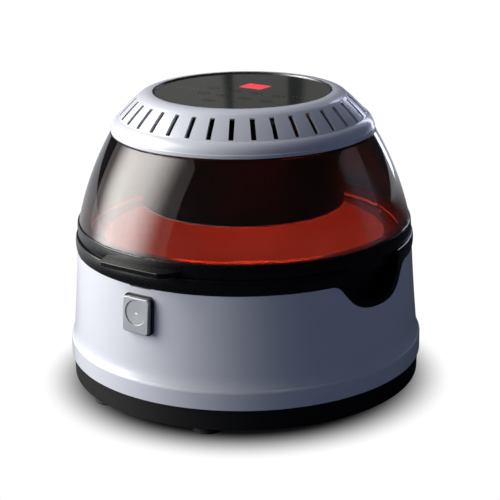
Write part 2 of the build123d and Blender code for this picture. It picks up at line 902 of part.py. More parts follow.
def visor_bow():
    # Centre of the visor's outward bow, from its foot, its top and the bow's radius
    foot = (visor_foot_r, lid_top_z)
    top = (visor_top_r, trim_z)
    mid = ((foot[0] + top[0]) / 2, (foot[1] + top[1]) / 2)
    run = (top[0] - foot[0], top[1] - foot[1])
    half = hypot(*run) / 2
    back = sqrt(visor_bow_r**2 - half**2)
    return mid[0] - back * run[1] / (2 * half), mid[1] + back * run[0] / (2 * half)


def visor_r(z, inset):
    centre_r, centre_z = visor_bow()
    return centre_r + sqrt((visor_bow_r - inset) ** 2 - (z - centre_z) ** 2)


def make_visor():
    mid_z = (lid_top_z + trim_z) / 2
    return turned(
        (visor_r(lid_top_z, 0), lid_top_z),
        (visor_r(mid_z, 0), mid_z, visor_r(trim_z, 0), trim_z),
        (visor_r(trim_z, visor_t), trim_z),
        (visor_r(mid_z, visor_t), mid_z, visor_r(lid_top_z, visor_t), lid_top_z),
    )


def make_visor_trim():
    outer = cap_foot_r - 0.4
    return turned(
        (outer - trim_w, trim_z),
        (outer, trim_z),
        (outer + 0.3, trim_z + trim_h / 2, outer, cap_z),
        (outer - trim_w, cap_z),
    )


def cap_curve(inset):
    # Crease, end of the round shoulder and end of the sloping face, set in by inset
    slope_in = inset * 0.72
    crease = (cap_foot_r - cap_crease - inset, cap_z + cap_band_h + 0.7 - 0.3 * inset)
    shoulder = (cap_shoulder_r - slope_in, cap_z + cap_shoulder_h - slope_in)
    brow = (cap_brow_r - 0.4 * inset, cap_z + cap_shoulder_h + cap_slope_h - inset)
    return crease, shoulder, brow


def cap_points():
    # Outside of the cap: band, crease, round shoulder, sloping face with the slots, top lip
    crease, shoulder, brow = cap_curve(0)
    lip = (glass_hole_r + 1.2, cap_top_z)
    return (
        (cap_foot_r, cap_z),
        (cap_foot_r, cap_z + cap_band_h),
        crease,
        (*arc_middle(crease, shoulder, cap_shoulder_bulge), *shoulder),
        (*arc_middle(shoulder, brow, cap_slope_bulge), *brow),
        (*arc_middle(brow, lip, cap_lip_bulge), *lip),
        (glass_hole_r, cap_top_z),
    )


def cap_inside():
    # The inner face, one wall thickness in, followed downwards
    crease, shoulder, brow = cap_curve(cap_t)
    return (
        brow,
        (*arc_middle(brow, shoulder, -cap_slope_bulge), *shoulder),
        (*arc_middle(shoulder, crease, -cap_shoulder_bulge), *crease),
        (crease[0], cap_z),
    )


def cap_slot():
    # A slot down the sloping face, with square ends
    inner_r = cap_brow_r + slot_top_gap
    outer_r = cap_shoulder_r - slot_low_gap
    run = cap_shoulder_r - cap_brow_r
    slope = degrees(atan2(cap_slope_h, run))
    length = (outer_r - inner_r) / cos(radians(slope))
    middle_r = (inner_r + outer_r) / 2
    middle_z = cap_z + cap_shoulder_h + (cap_shoulder_r - middle_r) * cap_slope_h / run
    slot = extrude(RectangleRounded(length, slot_w, slot_corner_r), 3 * cap_t, both=True)
    return Pos(middle_r, 0, middle_z) * Rot(0, slope, 0) * slot


def make_top_cap():
    seat = glass_seat_z
    ledge_r = glass_r - glass_ledge_w
    cap = turned(
        *cap_points(),
        (glass_hole_r, seat),
        (ledge_r, seat),
        (ledge_r, seat - glass_ledge_t),
        *cap_inside(),
    )
    outside = turned((0, cap_z), *cap_points(), (0, cap_top_z))
    for angle in boss_angles():
        x, y = on_circle(boss_ring_r, angle)
        boss = post(x, y, boss_r, roof_z, roof_z + boss_h) & outside
        cap = cap + boss - post(x, y, boss_screw_d / 2, roof_z - 1, roof_z + boss_screw_l + 1)
    slots = [Rot(0, 0, 360 / slot_count * index) * cap_slot() for index in range(slot_count)]
    return cap - slots


def boss_angles():
    # Four bosses, each halfway between two slots
    return [(round(slot_count * quarter / 4) + 0.5) * 360 / slot_count for quarter in range(4)]


def make_cap_base():
    outer = cap_foot_r - cap_crease - cap_t - 0.2
    plate = ring(bearing_r + fit_gap / 2, outer, cap_base_z, roof_z)
    for angle in boss_angles():
        x, y = on_circle(boss_ring_r, angle)
        plate = plate - post(x, y, boss_screw_d / 2 + 0.4, cap_base_z - 1, roof_z + 1)
    for radius, at in element_leg_places():
        x, y = on_circle(radius, at)
        plate = plate - post(x, y, element_d / 2 + 0.6, cap_base_z - 1, roof_z + 1)
    vent = extrude(SlotOverall(cap_vent_l, cap_vent_w, rotation=90), cap_base_t, both=True)
    step = 360 / cap_vent_count
    for index in range(cap_vent_count):
        turn = Rot(0, 0, step * (index + 0.5) + 30)
        plate = plate - turn * Pos(0, cap_vent_ring_r, roof_z - cap_base_t / 2) * vent
    return plate


def make_cap_screws():
    screws = []
    head_z = cap_base_z - boss_screw_head_h
    reach = boss_screw_head_r + 0.2
    for angle in boss_angles():
        x, y = on_circle(boss_ring_r, angle)
        head = post(x, y, boss_screw_head_r, head_z, cap_base_z)
        slot = block(x - reach, x + reach, y - 0.4, y + 0.4, head_z - 0.2, head_z + 0.7)
        shank = post(x, y, boss_screw_d / 2 - 0.05, cap_base_z, roof_z + boss_screw_l)
        screws.append(head + shank - slot)
    return Compound(screws)


# Heater, fan and motor


def make_heater_shroud():
    top = cap_base_z
    shroud = turned(
        (shroud_r - shroud_lip_w, shroud_z),
        (shroud_r - 1.0, shroud_z),
        (shroud_r - 0.29, shroud_z + 0.29, shroud_r, shroud_z + 1.0),
        (shroud_r, top),
        (shroud_hole_r, top),
        (shroud_hole_r, top - shroud_t),
        (shroud_r - shroud_t, top - shroud_t),
        (shroud_r - shroud_t, shroud_z + shroud_t),
        (shroud_r - shroud_lip_w, shroud_z + shroud_t),
    )
    for radius, at in element_leg_places():
        x, y = on_circle(radius, at)
        shroud = shroud - post(x, y, element_d / 2 + 0.4, top - 3, top + 1)
    return shroud


def element_end_deg(radius):
    # How far round from the front each ring of tube runs before it bends up
    return 180 - element_gap_deg - degrees(element_bend_r / radius)


def element_leg_places():
    # Where the four ends of the two heater rings go up, at the back
    places = []
    for radius in (element_outer_r, element_inner_r):
        leg_r = hypot(radius, element_bend_r)
        leg_deg = element_end_deg(radius) + degrees(atan2(element_bend_r, radius))
        places += [(leg_r, leg_deg), (leg_r, -leg_deg)]
    return places


def make_heating_element(radius):
    # A ring of tube open at the back, with both ends bent straight up through the roof
    z = shroud_z + element_up
    top = roof_z + 5.0
    bend = element_bend_r
    at = element_end_deg(radius)
    start = Vector(*on_circle(radius, -at), z)
    end = Vector(*on_circle(radius, at), z)
    mid = Vector(*on_circle(radius, 0), z)
    arc = ThreePointArc(start, mid, end)
    edges = []
    for here, direction in ((end, arc % 1), (start, -(arc % 0))):
        corner = here + direction * bend
        knee = here + direction * (bend * 0.7071) + Vector(0, 0, bend * 0.2929)
        high = corner + Vector(0, 0, bend)
        edges.append(ThreePointArc(here, knee, high))
        edges.append(Line(high, Vector(high.X, high.Y, top)))
    return joined([tube_along(edge, element_d) for edge in (arc, *edges)])


def make_fan_guard():
    z = shroud_z + guard_up
    outer_r = shroud_r - shroud_t - guard_wire_d / 2 - 0.1
    count = int((outer_r - hub_plate_r - 5.0) // guard_ring_pitch) + 1
    bar_z = z + guard_wire_d * 0.6
    return wire_grid(outer_r, guard_ring_pitch, count, guard_bar_count, guard_wire_d, z, bar_z)


def make_convection_fan():
    top = fan_disc_z + fan_disc_t
    low = fan_disc_z - fan_blade_h
    half = fan_blade_t / 2
    fan = ring(shaft_d / 2, fan_r, fan_disc_z, top)
    fan = fan + ring(shaft_d / 2, fan_hub_r, low, top + fan_hub_up)
    for index in range(fan_blade_count):
        blade = block(fan_hub_r - 1, fan_r, -half, half, low, fan_disc_z + 0.3)
        fan = fan + Rot(0, 0, 360 / fan_blade_count * index) * blade
    return fan


def make_cooling_fan():
    low = cooling_fan_z
    high = low + cooling_fan_h
    mid = (low + high) / 2
    hub_r = cooling_hub_r
    half = cooling_blade_t / 2
    limit = ring(hub_r - 2, cooling_fan_r, low, high)
    fan = ring(shaft_d / 2, hub_r, low, high)
    for index in range(cooling_blade_count):
        blade = block(hub_r - 1, cooling_fan_r, -half, half, low - 4, high + 4)
        pitched = Pos(0, 0, mid) * Rot(cooling_blade_deg, 0, 0) * Pos(0, 0, -mid) * blade
        fan = fan + (Rot(0, 0, 360 / cooling_blade_count * index) * pitched & limit)
    return fan


def make_shaft_bearing():
    inner = shaft_d / 2 + shaft_fit
    low = cap_base_z - shroud_t - 2.0
    high = min(low + bearing_h, cooling_fan_z - 0.5)
    small_r = shroud_hole_r - 0.1
    flange_z = roof_z + 0.5
    return turned(
        (inner, low),
        (small_r, low),
        (small_r, cap_base_z),
        (bearing_r, cap_base_z),
        (bearing_r, flange_z),
        (small_r, flange_z),
        (small_r, high),
        (inner, high),
    )


def make_motor_shaft():
    return disc(shaft_d / 2, fan_disc_z - fan_blade_h - 2, motor_top_z() - motor_t - 1.0)


def motor_top_z():
    return bracket_z + bracket_t + motor_h


def make_motor_housing():
    low = bracket_z + bracket_t
    top = motor_top_z()
    bore = shaft_d / 2 + shaft_fit
    in_r = motor_r - motor_t
    return turned(
        (bore, low),
        (motor_r, low),
        (motor_r, top - 1.5),
        (motor_r - 0.44, top - 0.44, motor_r - 1.5, top),
        (0, top),
        (0, top - motor_t),
        (in_r, top - motor_t),
        (in_r, low + motor_t),
        (bore, low + motor_t),
    )


def make_motor_rotor():
    low = bracket_z + bracket_t + motor_t + motor_air
    top = motor_top_z() - motor_t - motor_air - 1.0
    return ring(shaft_d / 2, motor_r - motor_t - motor_air, low, top)


def make_motor_bracket():
    high_z = bracket_z + bracket_t
    plate = disc(motor_r + 3, bracket_z, high_z)
    for index in range(3):
        turn = Rot(0, 0, 120 * index + 60)
        half = bracket_arm_w / 2
        plate = plate + turn * block(-half, half, -bracket_leg_r, -motor_r, bracket_z, high_z)
        plate = plate + turn * post(0, -bracket_leg_r, bracket_leg_d / 2, roof_z, bracket_z + bracket_t / 2)
    return plate - disc(shaft_d / 2 + 1.0, bracket_z - 1, high_z + 1)


# Touch panel


def make_control_glass():
    return turned(
        (0, glass_seat_z),
        (glass_r, glass_seat_z),
        (glass_r, glass_top_z - 0.4),
        (glass_r - 0.4, glass_top_z),
        (0, glass_top_z),
    )


def make_panel_bezel():
    inner = glass_r + 0.05
    outer = glass_hole_r - 0.05
    top = cap_top_z - 0.1
    return turned(
        (inner, glass_seat_z),
        (outer, glass_seat_z),
        (outer, top - 0.5),
        ((inner + outer) / 2, top + 0.1, inner, top - 0.5),
    )


def make_control_board():
    board = disc(board_r, board_z, board_z + board_t)
    for angle in (45, 135, 225, 315):
        x, y = on_circle(board_r - 6, angle)
        board = board + post(x, y, 3.0, board_z + board_t, glass_seat_z)
    board = board + block(-28, -18, -30, -22, board_z + board_t, board_z + board_t + 2.2)
    board = board + block(10, 34, -44, -36, board_z + board_t, board_z + board_t + 3.0)
    return board


def make_display_module():
    half_w = display_w / 2
    half_d = display_d / 2
    low = board_z + board_t
    return block(-half_w, half_w, display_y - half_d, display_y + half_d, low, glass_seat_z - 0.2)


# Catch and magnet in the lid, switch in the base


def make_lid_catch():
    half = hook_w / 2
    front = hook_y - hook_t / 2
    back = hook_y + hook_t / 2
    plate_top = lid_top_z - lid_ring_t
    plate = block(-half, half, front, back, hook_low_z, plate_top)
    toe = block(-half, half, back, back + hook_toe, hook_low_z, hook_low_z + hook_toe_h)
    foot = block(-half, half, back, back + hook_foot_l, plate_top - hook_t, plate_top)
    return plate + toe + foot


def magnet_place():
    return on_circle((lid_ring_in + lid_ring_t + lid_wall_in) / 2, switch_deg)


def make_lid_magnet():
    x, y = magnet_place()
    top = lid_top_z - lid_ring_t
    return post(x, y, magnet_r, top - magnet_h, top)


def make_lid_switch():
    x, y = magnet_place()
    low = under_ledge_z - switch_h
    half = switch_w / 2
    body = block(-half, half, -magnet_r, magnet_r, low, under_ledge_z)
    for pin_x in (-half + 2.5, half - 2.5):
        body = body + block(pin_x - 0.5, pin_x + 0.5, -0.4, 0.4, low - 3.0, low)
    return Pos(x, y, 0) * Rot(0, 0, switch_deg) * body


# Hinge


def make_hinge_bracket():
    # Saddle against the base with two ears up to the pin
    low = seam_z - saddle_h
    top = saddle_top_z
    outer_y = hinge_y + knuckle_r
    saddle = block(-hinge_half_w, hinge_half_w, shell_top_r - 14, outer_y, low, top)
    saddle = saddle - base_envelope(0.05)
    edge = [e for e in saddle.edges().filter_by(Axis.X) if e.center().Y > outer_y - 0.1]
    saddle = fillet(edge, 2.5)
    bracket = saddle
    for x0 in (-hinge_half_w, hinge_half_w - ear_w):
        x1 = x0 + ear_w
        ear = block(x0, x1, hinge_y - knuckle_r, outer_y, top - 3, hinge_z)
        bracket = bracket + ear + along_x(x0, x1, hinge_y, hinge_z, knuckle_r)
    bracket = bracket - along_x(-hinge_half_w - 1, hinge_half_w + 1, hinge_y, hinge_z, hinge_pin_d / 2)
    lug_reach = knuckle_r + 0.6
    inner = hinge_half_w - ear_w
    bracket = bracket - along_x(-inner, inner, hinge_y, hinge_z, lug_reach)
    screw_z = low + hinge_screw_up
    for x in (-hinge_screw_x, hinge_screw_x):
        bracket = bracket - along_y(outer_y - 30, outer_y + 1, x, screw_z, screw_d / 2)
        bracket = bracket - along_y(outer_y - screw_head_h, outer_y + 1, x, screw_z, screw_head_r + 0.2)
    return bracket


def make_hinge_screws():
    screw = pan_screw(0, 0, -screw_head_h, hinge_screw_l)
    head_y = hinge_y + knuckle_r - screw_head_h
    places = [Pos(x, head_y, seam_z - saddle_h + hinge_screw_up) for x in (-hinge_screw_x, hinge_screw_x)]
    return Compound([place * Rot(90, 0, 0) * screw for place in places])


def make_lid_hinge_bracket():
    # Two lugs on the back of the lid ring that turn on the pin
    bore = hinge_pin_d / 2 + shaft_fit
    outer = hinge_half_w - ear_w - hinge_side_gap
    inner = spring_room / 2
    top = lid_top_z - 1.0
    lugs = None
    for side in (1, -1):
        x0, x1 = sorted((side * inner, side * outer))
        lug = block(x0, x1, lid_ring_r - 4, hinge_y, hinge_z - lug_half_h, hinge_z + lug_half_h)
        lug = lug + along_x(x0, x1, hinge_y, hinge_z, knuckle_r - 0.3)
        lugs = lug if lugs is None else lugs + lug
    plate = block(-outer, outer, lid_ring_r - 4, lid_ring_r + hinge_plate_t, lid_z + 1.0, top)
    bracket = lugs + plate - disc(lid_ring_r + 0.02, lid_z - 5, lid_top_z + 20)
    spring_gap = block(-inner + 0.3, inner - 0.3, hinge_y - knuckle_r - 0.5, hinge_y + 20, lid_z, top + 9)
    return bracket - spring_gap - along_x(-outer - 1, outer + 1, hinge_y, hinge_z, bore)


def make_hinge_pin():
    pin = along_x(-hinge_half_w - 0.5, hinge_half_w + 0.5, hinge_y, hinge_z, hinge_pin_d / 2)
    for x in (-hinge_half_w - 1.2, hinge_half_w):
        pin = pin + along_x(x, x + 1.2, hinge_y, hinge_z, hinge_pin_d / 2 + 1.0)
    return pin


def make_hinge_spring():
    # Torsion spring round the pin, with one leg down on the saddle and one up on the lid
    radius = hinge_pin_d / 2 + 0.4 + hinge_wire_d / 2
    pitch = hinge_wire_d + 0.5
    down_leg = hinge_z - saddle_top_z - 0.3
    lid_leg = hinge_y - lid_ring_r - hinge_plate_t - 0.3
    body = coil(radius, hinge_wire_d, pitch, hinge_spring_turns, down_leg, lid_leg)
    length = pitch * hinge_spring_turns
    return Pos(-length / 2, hinge_y, hinge_z) * Rot(90, 0, 0) * Rot(0, 90, 0) * body


# Wiring in the base


def gland_inner_y():
    return base_r_at(gland_z) + 0.9 - gland_body_l


def gland_prism(width, y0, y1):
    # A square block along Y with small round corners, at the lead's height
    face = RectangleRounded(width, width, gland_corner_r)
    return Pos(0, y1, gland_z) * extrude(Plane.XZ * face, y1 - y0)


def make_cable_gland():
    low_y = gland_inner_y()
    body_end = low_y + gland_body_l
    end = body_end + gland_flange_t
    flange = gland_prism(gland_flange_w, body_end, end)
    flange = chamfer(flange.faces().sort_by(Axis.Y)[-1].edges(), 1.0)
    gland = gland_prism(gland_body_w, low_y, body_end) + flange
    return gland - along_y(low_y - 1, end + 1, 0, gland_z, gland_bore_r)


def base_r_at(z):
    # The shell's outside radius on its straight taper
    waist_z = shell_z + waist_h
    share = (z - waist_z) / (rim_z - waist_z)
    return waist_r + (shell_top_r - waist_r) * share


def make_power_board():
    low = foot_h + pan_t + 5
    board = block(-60, 60, -40, 40, low, low + board_t)
    top = low + board_t
    parts = [board]
    parts.append(block(-48, -28, -26, -6, top, top + 10))
    parts.append(block(-20, 0, -28, -12, top, top + 9))
    parts.append(block(10, 26, -26, -14, top, top + 9.5))
    parts.append(post(-38, 16, 6, top, top + 9))
    parts.append(block(24, 48, 6, 22, top, top + 8))
    for x in (-55, 55):
        for y in (-35, 35):
            parts.append(post(x, y, 3, foot_h + pan_t, low))
    return joined(parts)


def make_terminal_block():
    low = foot_h + pan_t
    half = terminal_w / 2
    body = block(-half, half, terminal_y - terminal_d, terminal_y, low, low + terminal_h)
    for x in (-terminal_pitch, 0, terminal_pitch):
        body = body - post(x, terminal_y - terminal_d / 2, 2.0, low + terminal_h / 2, low + terminal_h + 1)
    return body


def make_inlet_lead():
    # From the gland down beside the liner, then along the pan to the terminal block
    start_y = gland_inner_y()
    down_y = start_y - lead_bend_r
    low_z = foot_h + pan_t + terminal_h / 2
    points = [(0, start_y, gland_z), (0, down_y, gland_z), (0, down_y, low_z), (0, terminal_y, low_z)]
    path = FilletPolyline(*points, radius=[lead_bend_r - 0.2, lead_sweep_r])
    lead = tube_along(path, lead_d)
    share = lead.volume / (pi * lead_d**2 / 4 * path.length)
    print("inlet lead bends", lead_bend_r, lead_sweep_r, "share of section times length", round(share, 4))
    return lead


base_pieces = {
    "outer_shell": make_outer_shell(),
    "base_pan": make_base_pan(),
    "base_rim": make_base_rim(),
    "grip_cup_right": make_grip_cup(1),
    "grip_cup_left": make_grip_cup(-1),
    "inner_liner": make_inner_liner(),
    "cooking_pot": make_cooking_pot(),
    "wire_rack": make_wire_rack(),
    "button_bezel": make_button_bezel(),
    "latch_housing": make_latch_housing(),
    "foot_screws": make_foot_screws(),
    "hinge_bracket": make_hinge_bracket(),
    "hinge_screws": make_hinge_screws(),
    "hinge_pin": make_hinge_pin(),
    "hinge_spring": make_hinge_spring(),
    "cable_gland": make_cable_gland(),
    "terminal_block": make_terminal_block(),
    "inlet_lead": make_inlet_lead(),
    "power_board": make_power_board(),
    "lid_switch": make_lid_switch(),
}
for foot_name, foot_angle in zip(("front_right", "front_left", "rear_right", "rear_left"), foot_angles()):
    base_pieces["foot_" + foot_name] = make_foot(foot_angle)

button_pieces = {
    "release_button": make_release_button(),
    "latch_slider": make_latch_slider(),
    "button_spring": make_button_spring(),
}

lid_pieces = {
    "lid_ring": make_lid_ring(),
    "lid_seal": make_lid_seal(),
    "lid_hinge_bracket": make_lid_hinge_bracket(),
    "lid_catch": make_lid_catch(),
    "lid_magnet": make_lid_magnet(),
    "visor": make_visor(),
    "visor_trim": make_visor_trim(),
    "top_cap": make_top_cap(),
    "cap_base": make_cap_base(),
    "cap_screws": make_cap_screws(),
    "heater_shroud": make_heater_shroud(),
    "heating_element_outer": make_heating_element(element_outer_r),
    "heating_element_inner": make_heating_element(element_inner_r),
    "fan_guard": make_fan_guard(),
    "shaft_bearing": make_shaft_bearing(),
    "motor_bracket": make_motor_bracket(),
    "motor_housing": make_motor_housing(),
    "control_board": make_control_board(),
    "display_module": make_display_module(),
    "control_glass": make_control_glass(),
    "panel_bezel": make_panel_bezel(),
}

rotor_pieces = {
    "motor_shaft": make_motor_shaft(),
    "motor_rotor": make_motor_rotor(),
    "convection_fan": make_convection_fan(),
    "cooling_fan": make_cooling_fan(),
}

os.makedirs("parts", exist_ok=True)
for group in (base_pieces, button_pieces, lid_pieces, rotor_pieces):
    for name, piece in group.items():
        save(name, piece)
        print(name, round(piece.volume))
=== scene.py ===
from math import cos, pi, radians, sin

import bpy
from mathutils import Matrix, Vector


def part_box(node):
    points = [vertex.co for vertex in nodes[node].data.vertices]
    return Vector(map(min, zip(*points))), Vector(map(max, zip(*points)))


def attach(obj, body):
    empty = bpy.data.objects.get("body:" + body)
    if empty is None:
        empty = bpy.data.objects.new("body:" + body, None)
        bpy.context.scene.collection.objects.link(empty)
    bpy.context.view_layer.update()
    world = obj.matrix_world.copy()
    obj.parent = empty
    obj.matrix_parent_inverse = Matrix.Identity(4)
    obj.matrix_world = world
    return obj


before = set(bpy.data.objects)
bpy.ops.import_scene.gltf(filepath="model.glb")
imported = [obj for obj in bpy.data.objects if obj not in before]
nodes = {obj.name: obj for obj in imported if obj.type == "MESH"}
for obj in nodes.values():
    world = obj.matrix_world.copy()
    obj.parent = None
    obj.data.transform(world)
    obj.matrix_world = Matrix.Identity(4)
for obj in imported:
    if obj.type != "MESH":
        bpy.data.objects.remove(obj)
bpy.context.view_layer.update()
bpy.ops.object.select_all(action="DESELECT")
print("frame loaded:", len(nodes), "nodes")

mm = 0.001


cameraSet = {
    "azimuthDeg": 35.34,    # seen from the front right
    "distance": 1.3375,     # level distance to the axis
    "height": 0.5542,
    "pitchDeg": -18.02,
    "yawDeg": -0.22,
    "rollDeg": -0.73,
    "lensMm": 104.64,
    "sensorMm": 36,
    "clipEnd": 30,
}


def setCamera(c):
    turn = radians(c["azimuthDeg"])
    camera = bpy.data.objects.new("camera", bpy.data.cameras.new("camera"))
    bpy.context.scene.collection.objects.link(camera)
    camera.data.lens = c["lensMm"]
    camera.data.sensor_width = c["sensorMm"]
    camera.data.clip_end = c["clipEnd"]
    place = Vector((c["distance"] * sin(turn), -c["distance"] * cos(turn), c["height"]))
    aim = Matrix.Rotation(turn + radians(c["yawDeg"]), 4, "Z")
    tilt = Matrix.Rotation(pi / 2 + radians(c["pitchDeg"]), 4, "X")
    roll = Matrix.Rotation(radians(c["rollDeg"]), 4, "Z")
    camera.matrix_world = Matrix.Translation(place) @ aim @ tilt @ roll
    bpy.context.scene.camera = camera


def fromCamera(bearingDeg, distance, height):
    # A place by its bearing from the camera's side of the object: positive is to the camera's right
    turn = radians(cameraSet["azimuthDeg"] + bearingDeg)
    return Vector((distance * sin(turn), -distance * cos(turn), height))


softboxes = {
    # Bearing in degrees from the camera's side, then distance, height and size in metres. From each
    # side inwards, as a share of the width, "edge" is the brightness as far as "flat", and the panel is
    # fully bright from "feather" on. "mirrored" says if it shows in reflections
    "keyLeft": {"bearing": -91, "distance": 1.25, "height": 0.62, "wide": 2.2, "tall": 1.5, "watts": 80,
                "colour": "#fffefb", "flat": 0.1, "feather": 0.44, "edge": 0.05, "mirrored": True},
    "fillRight": {"bearing": 98, "distance": 1.6, "height": 0.5, "wide": 0.9, "tall": 0.9, "watts": 2.6,
                  "colour": "#cfd8f4", "feather": 0.3, "mirrored": False},
    "stripRight": {"bearing": 149, "distance": 1.5, "height": 0.55, "wide": 0.26, "tall": 1.1, "watts": 5.5,
                   "colour": "#dfe6ff", "feather": 0.5, "mirrored": True},
    "overhead": {"bearing": -125, "distance": 0.8, "height": 1.5, "wide": 1.2, "tall": 0.9, "watts": 9,
                 "colour": "#f4f6ff", "feather": 0.3, "mirrored": False},
    # three cards behind, whose gaps make the dark upright lines in the panel's reflection
    "backLeft": {"bearing": 195.8, "distance": 2.07, "height": 0.7, "wide": 1.1, "tall": 0.6, "watts": 0.26,
                 "colour": "#fffdf4", "feather": 0.02, "mirrored": True},
    "backMiddle": {"bearing": 178.8, "distance": 2.0, "height": 0.7, "wide": 0.135, "tall": 0.6,
                   "watts": 0.024, "colour": "#fffdf4", "feather": 0.05, "mirrored": True},
    "backRight": {"bearing": 161.6, "distance": 2.1, "height": 0.7, "wide": 1.1, "tall": 0.6, "watts": 0.21,
                  "colour": "#fffdf4", "feather": 0.02, "mirrored": True},
}
aimHeight = 0.15    # where the panels point, about half way up the object


def addSoftbox(name, box):
    # A panel that fades towards its left and right edges, as a diffuser does
    light = bpy.data.objects.new(name, bpy.data.lights.new(name, "AREA"))
    bpy.context.scene.collection.objects.link(light)
    light.data.shape = "RECTANGLE"
    light.data.size = box["wide"]
    light.data.size_y = box["tall"]
    light.data.energy = box["watts"]
    light.data.color = srgb(box["colour"])[:3]
    light.location = fromCamera(box["bearing"], box["distance"], box["height"])
    toObject = Vector((0, 0, aimHeight)) - light.location
    light.rotation_euler = toObject.to_track_quat("-Z", "Y").to_euler()
    light.visible_camera = False
    light.visible_glossy = box["mirrored"]
    light.data.use_nodes = True
    tree = light.data.node_tree
    tree.nodes.clear()
    surface = addNode(tree, "ShaderNodeNewGeometry")
    across = addNode(tree, "ShaderNodeSeparateXYZ", {0: (surface, "Parametric")})
    fromEdge = addNode(tree, "ShaderNodeMath", {0: (across, "X"), 1: 0.5}, operation="PINGPONG")
    fade = addNode(tree, "ShaderNodeMapRange", {
        "Value": (fromEdge, "Value"), "From Min": box.get("flat", 0.0), "From Max": box["feather"],
        "To Min": box.get("edge", 0.0)}, interpolation_type="SMOOTHSTEP")
    emission = addNode(tree, "ShaderNodeEmission", {"Strength": (fade, "Result")})
    addNode(tree, "ShaderNodeOutputLight", {"Surface": (emission, "Emission")})


def srgb(hexCode):
    # "#rrggbb" as Blender's linear colour
    parts = [int(hexCode[i:i + 2], 16) / 255 for i in (1, 3, 5)]
    return (*[p / 12.92 if p <= 0.04045 else ((p + 0.055) / 1.055) ** 2.4 for p in parts], 1.0)


def addNode(tree, kind, inputs=None, **settings):
    # Adds a node. An input given as (node, output name) is linked, and any other is set
    node = tree.nodes.new(kind)
    for name, value in settings.items():
        setattr(node, name, value)
    for name, value in (inputs or {}).items():
        if isinstance(value, tuple) and isinstance(value[0], bpy.types.Node):
            tree.links.new(value[0].outputs[value[1]], node.inputs[name])
        else:
            node.inputs[name].default_value = value
    return node


smokeTone = "#b9a89c"    # warm grey, what the room looks like through the smoked visor

roomLook = {
    # colour and strength of the surroundings as light, as reflections, through the visor and to the camera
    "ambientColour": "#b6c8ff", "ambient": 0.09,
    "mirroredColour": "#c4d2ff", "mirrored": 0.025,
    "throughGlassColour": smokeTone, "throughGlass": 0.04,
    "backdropColour": "#ffffff", "backdrop": 1.0,
}


def setWorld(look):
    # White to the camera, dim to everything else, and darker still in reflections and through the visor
    world = bpy.data.worlds.new("studio")
    bpy.context.scene.world = world
    world.use_nodes = True
    tree = world.node_tree
    tree.nodes.clear()
    path = addNode(tree, "ShaderNodeLightPath")
    room, gloss, beyond, white = [
        addNode(tree, "ShaderNodeBackground", {"Color": srgb(look[part + "Colour"]), "Strength": look[part]})
        for part in ("ambient", "mirrored", "throughGlass", "backdrop")]
    back = addNode(tree, "ShaderNodeMixShader", {
        0: (path, "Is Glossy Ray"), 1: (room, "Background"), 2: (gloss, "Background")})
    dim = addNode(tree, "ShaderNodeMixShader", {
        0: (path, "Is Transmission Ray"), 1: (back, "Shader"), 2: (beyond, "Background")})
    mix = addNode(tree, "ShaderNodeMixShader", {
        0: (path, "Is Camera Ray"), 1: (dim, "Shader"), 2: (white, "Background")})
    addNode(tree, "ShaderNodeOutputWorld", {"Surface": (mix, "Shader")})


paperLook = {
    "halfSizeM": 12.0, "belowM": 0.0002,
    "bounce": "#717a8e",    # the light that the object gets back from the paper
    "mirrored": "#35373d",  # the paper close by, as the gloss shows it
    "throughGlass": 0.05,
    # the soft painted contact shadow: how far its middle lies to the front, where it starts and where the
    # paper is white again, and how bright the paper is in the dark and in the white
    "shadeForwardM": 0.014, "darkM": 0.144, "whiteM": 0.203, "darkest": 0.005, "whitest": 1.02,
    # the far paper, mirrored at the visor's edges: its colour, on which side it is bright, how bright,
    # and from where to where
    "farColour": "#eef1f6", "farBearing": -145, "farGlow": 0.65, "farFromM": 0.15, "farToM": 0.7,
}


